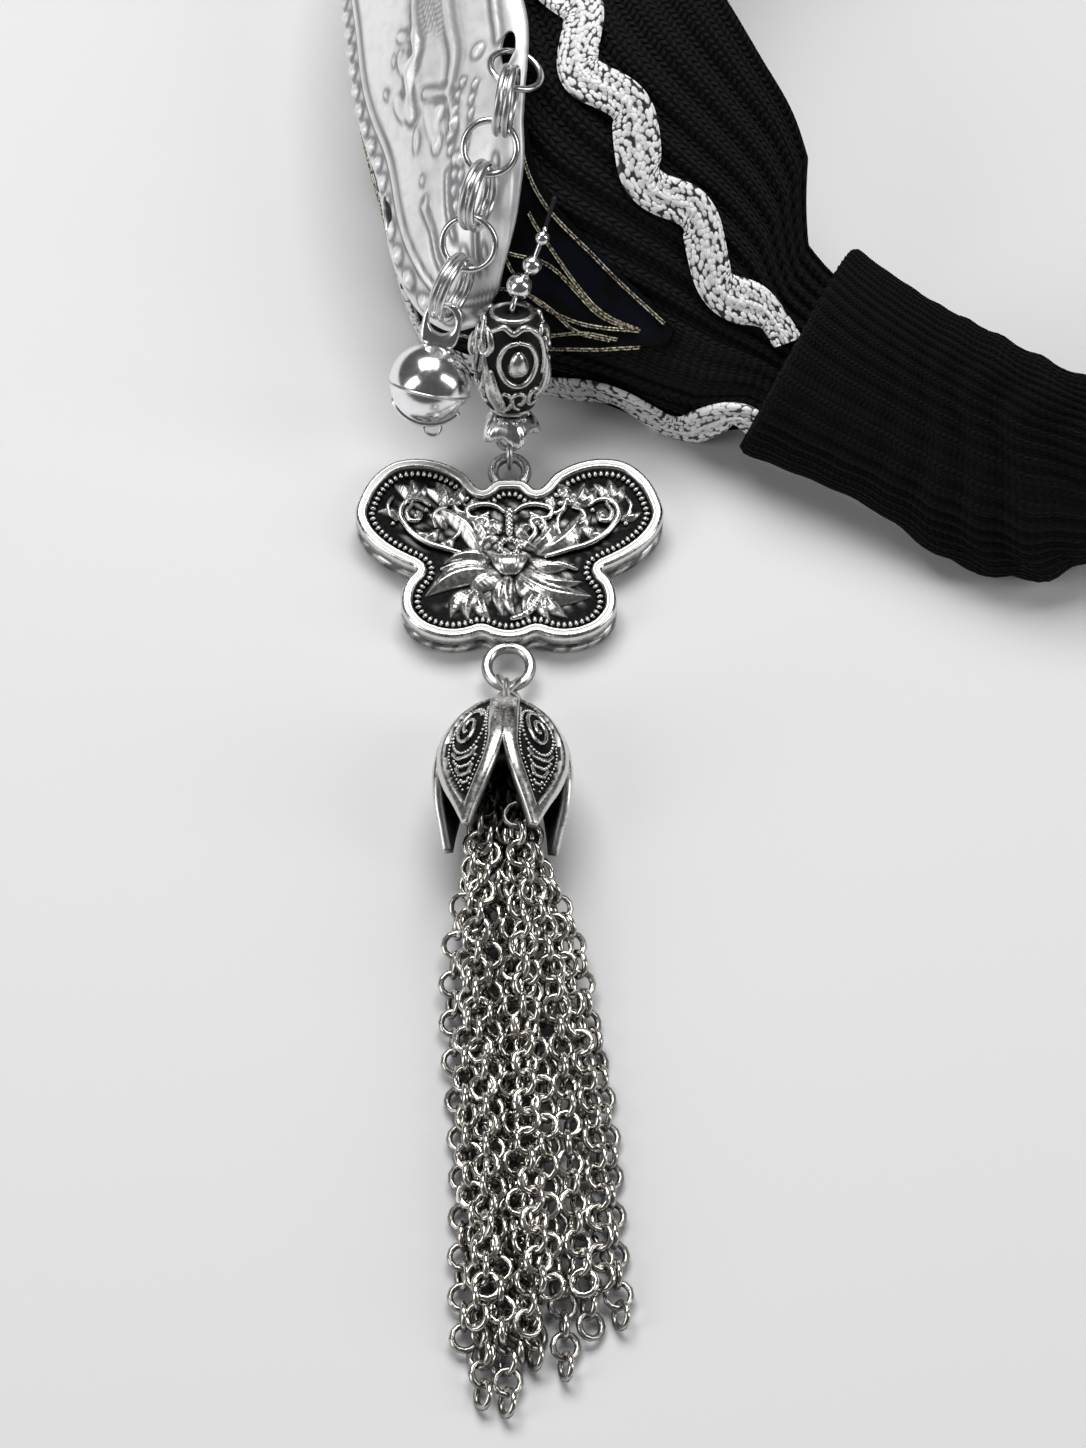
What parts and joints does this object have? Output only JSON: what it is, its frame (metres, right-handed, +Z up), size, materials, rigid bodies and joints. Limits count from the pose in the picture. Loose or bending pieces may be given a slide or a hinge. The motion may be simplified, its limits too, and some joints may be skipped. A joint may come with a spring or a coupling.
{
  "type": "embroidered headband",
  "caption": "Rib-knit headband with a worked silver plate round the front, an elastic back, a jingle bell on a ring chain, and a butterfly pendant with a chain tassel at one side.",
  "frame": {"origin": "middle of the footprint at the height of the surface it lies on", "axes": "+Z up from the surface, +X to the picture's right, +Y away from the camera"},
  "size_m": [0.1816, 0.2938, 0.0545],
  "materials": {
    "black_rib_knit": "ribbed knit",
    "navy_satin": "satin with couched thread",
    "bright_silver": "polished, worked in relief",
    "silver_tinsel": "metallic braid",
    "black_elastic": "ribbed elastic",
    "antique_silver": "dark in the hollows, rubbed bright on the rims",
    "nickel_chain": "worn chain"
  },
  "bodies": {
    "root": {"knit_band": "black_rib_knit", "embroidered_panel": "navy_satin", "silver_plate": "bright_silver", "upper_ricrac": "silver_tinsel", "lower_ricrac": "silver_tinsel", "elastic_cuff": "black_elastic", "chain_ring_1": "bright_silver", "chain_link_1": "bright_silver", "chain_ring_2": "bright_silver", "chain_link_2": "bright_silver", "chain_ring_3": "bright_silver", "chain_link_3": "bright_silver", "jingle_bell": "bright_silver", "bead_1": "bright_silver", "bead_2": "bright_silver", "bead_3": "bright_silver", "eye_pin": "bright_silver", "filigree_barrel": "antique_silver", "petal_cap": "bright_silver", "drop_ring": "bright_silver", "butterfly": "antique_silver", "cap_ring_1": "antique_silver", "cap_ring_2": "antique_silver", "tulip_cap": "antique_silver", "tassel_chains": "nickel_chain"}
  },
  "joints": []
}
